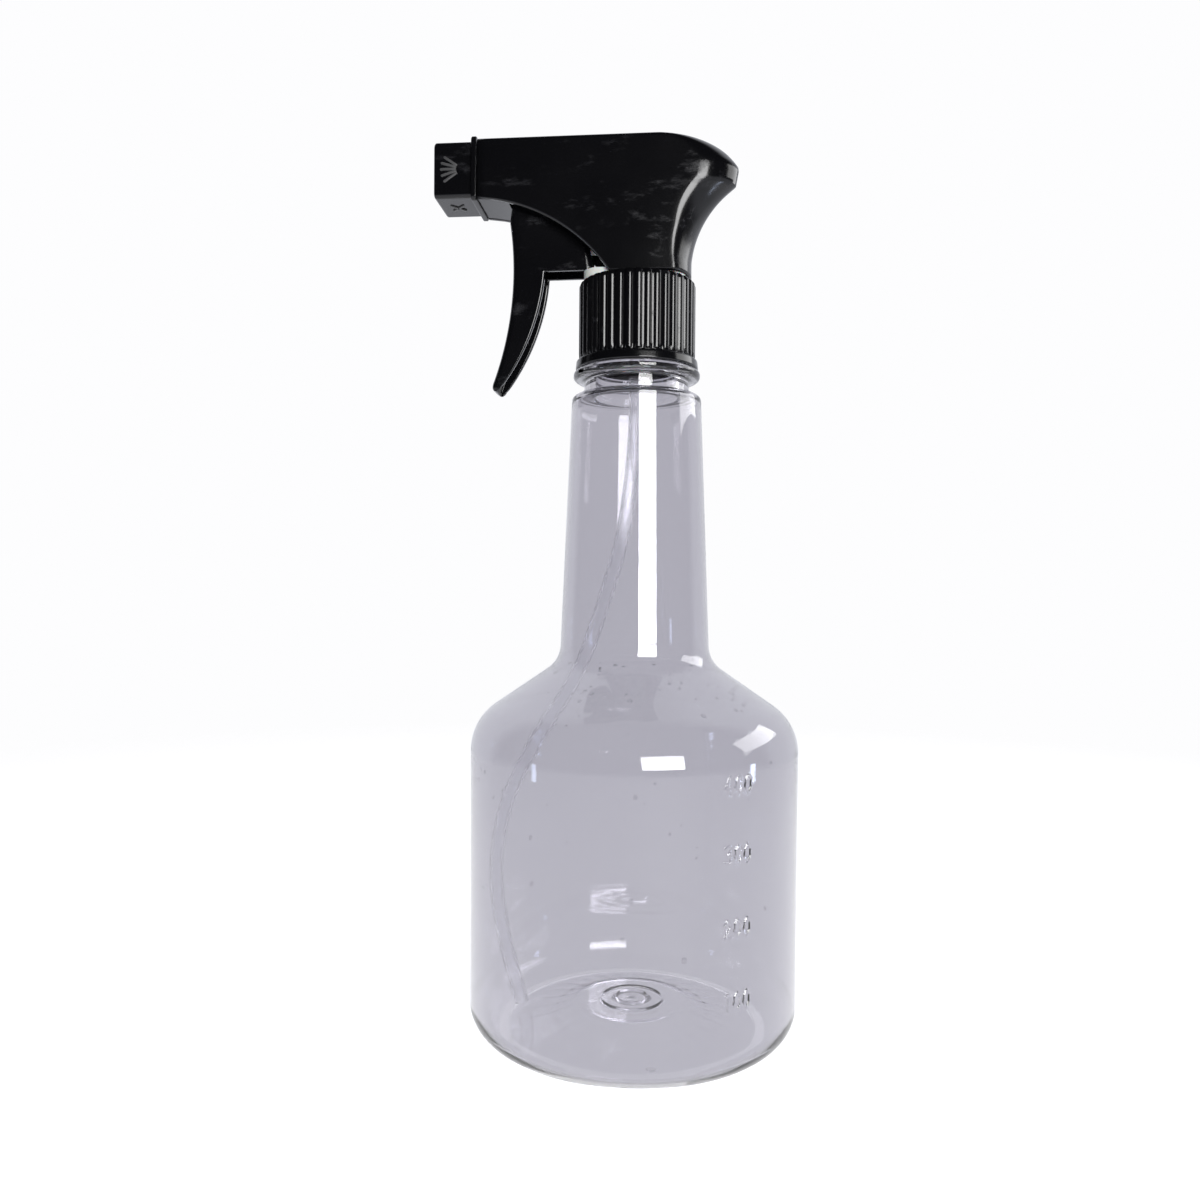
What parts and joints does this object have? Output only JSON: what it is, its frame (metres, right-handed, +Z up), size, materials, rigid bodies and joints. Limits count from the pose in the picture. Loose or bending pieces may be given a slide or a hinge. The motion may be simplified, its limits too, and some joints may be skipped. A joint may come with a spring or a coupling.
{
  "type": "spray bottle",
  "caption": "Clear round bottle with a long neck, a screwed ribbed collar and a black trigger sprayer with a square turning nozzle, an inside pump and a bowed dip tube.",
  "frame": {"origin": "on the bottle's axis, at the plane the bottle stands on", "axes": "+Z up along the bottle's axis, -X the way the nozzle sprays, Y across the trigger"},
  "size_m": [0.0969, 0.0864, 0.2343],
  "materials": {
    "clear_plastic": "clear gloss blown bottle plastic, faintly grey",
    "black_plastic": "black satin moulded polypropylene",
    "natural_plastic": "uncoloured translucent polypropylene",
    "tube_plastic": "translucent extruded polyethylene tube",
    "seal_plastic": "soft pale polyethylene seal",
    "foam_gasket": "white closed-cell foam",
    "spring_steel": "drawn stainless spring wire",
    "ball_steel": "polished stainless ball"
  },
  "bodies": {
    "bottle": {"bottle": "clear_plastic"},
    "head": {"pump_body": "natural_plastic", "shroud": "black_plastic", "tube_connector": "natural_plastic", "bottle_gasket": "foam_gasket", "dip_tube": "tube_plastic", "nozzle_seal": "seal_plastic", "swirl_insert": "natural_plastic", "return_spring": "spring_steel", "outlet_spring": "spring_steel"},
    "collar": {"closure_collar": "black_plastic"},
    "trigger": {"trigger": "black_plastic"},
    "piston": {"piston": "natural_plastic", "piston_cup": "seal_plastic"},
    "nozzle": {"nozzle_cap": "black_plastic"},
    "inlet_ball": {"inlet_ball": "ball_steel"},
    "outlet_valve": {"outlet_valve": "seal_plastic"}
  },
  "joints": [
    {"name": "head_rise", "type": "slide", "parent": "bottle", "child": "head", "axis": [0, 0, 1], "range_m": [0, 0.00634]},
    {"name": "collar_turn", "type": "hinge", "parent": "head", "child": "collar", "pos_m": [0, 0, 0.19], "axis": [0, 0, 1], "range_deg": [0, 540]},
    {"name": "trigger_squeeze", "type": "hinge", "parent": "head", "child": "trigger", "pos_m": [-0.029, 0, 0.226], "axis": [0, -1, 0], "range_deg": [0, 13], "stiffness_Nm_per_rad": 0.25, "springref_deg": -13.06},
    {"name": "piston_stroke", "type": "slide", "parent": "head", "child": "piston", "axis": [1, 0, 0], "range_m": [0, 0.0047], "deforming": ["return_spring"]},
    {"name": "nozzle_turn", "type": "hinge", "parent": "head", "child": "nozzle", "pos_m": [-0.048, 0, 0.226], "axis": [1, 0, 0], "continuous": true},
    {"name": "inlet_ball_lift", "type": "slide", "parent": "head", "child": "inlet_ball", "axis": [0, 0, 1], "range_m": [0, 0.0015]},
    {"name": "outlet_valve_lift", "type": "slide", "parent": "head", "child": "outlet_valve", "axis": [-1, 0, 0], "range_m": [0, 0.0015], "stiffness_N_per_m": 60, "springref_m": -0.003, "deforming": ["outlet_spring"]}
  ],
  "couplings": [
    {"joint": "collar_turn", "follows": "head_rise", "rad_per_m": 1484.2},
    {"joint": "piston_stroke", "follows": "trigger_squeeze", "m_per_rad": 0.02068}
  ]
}
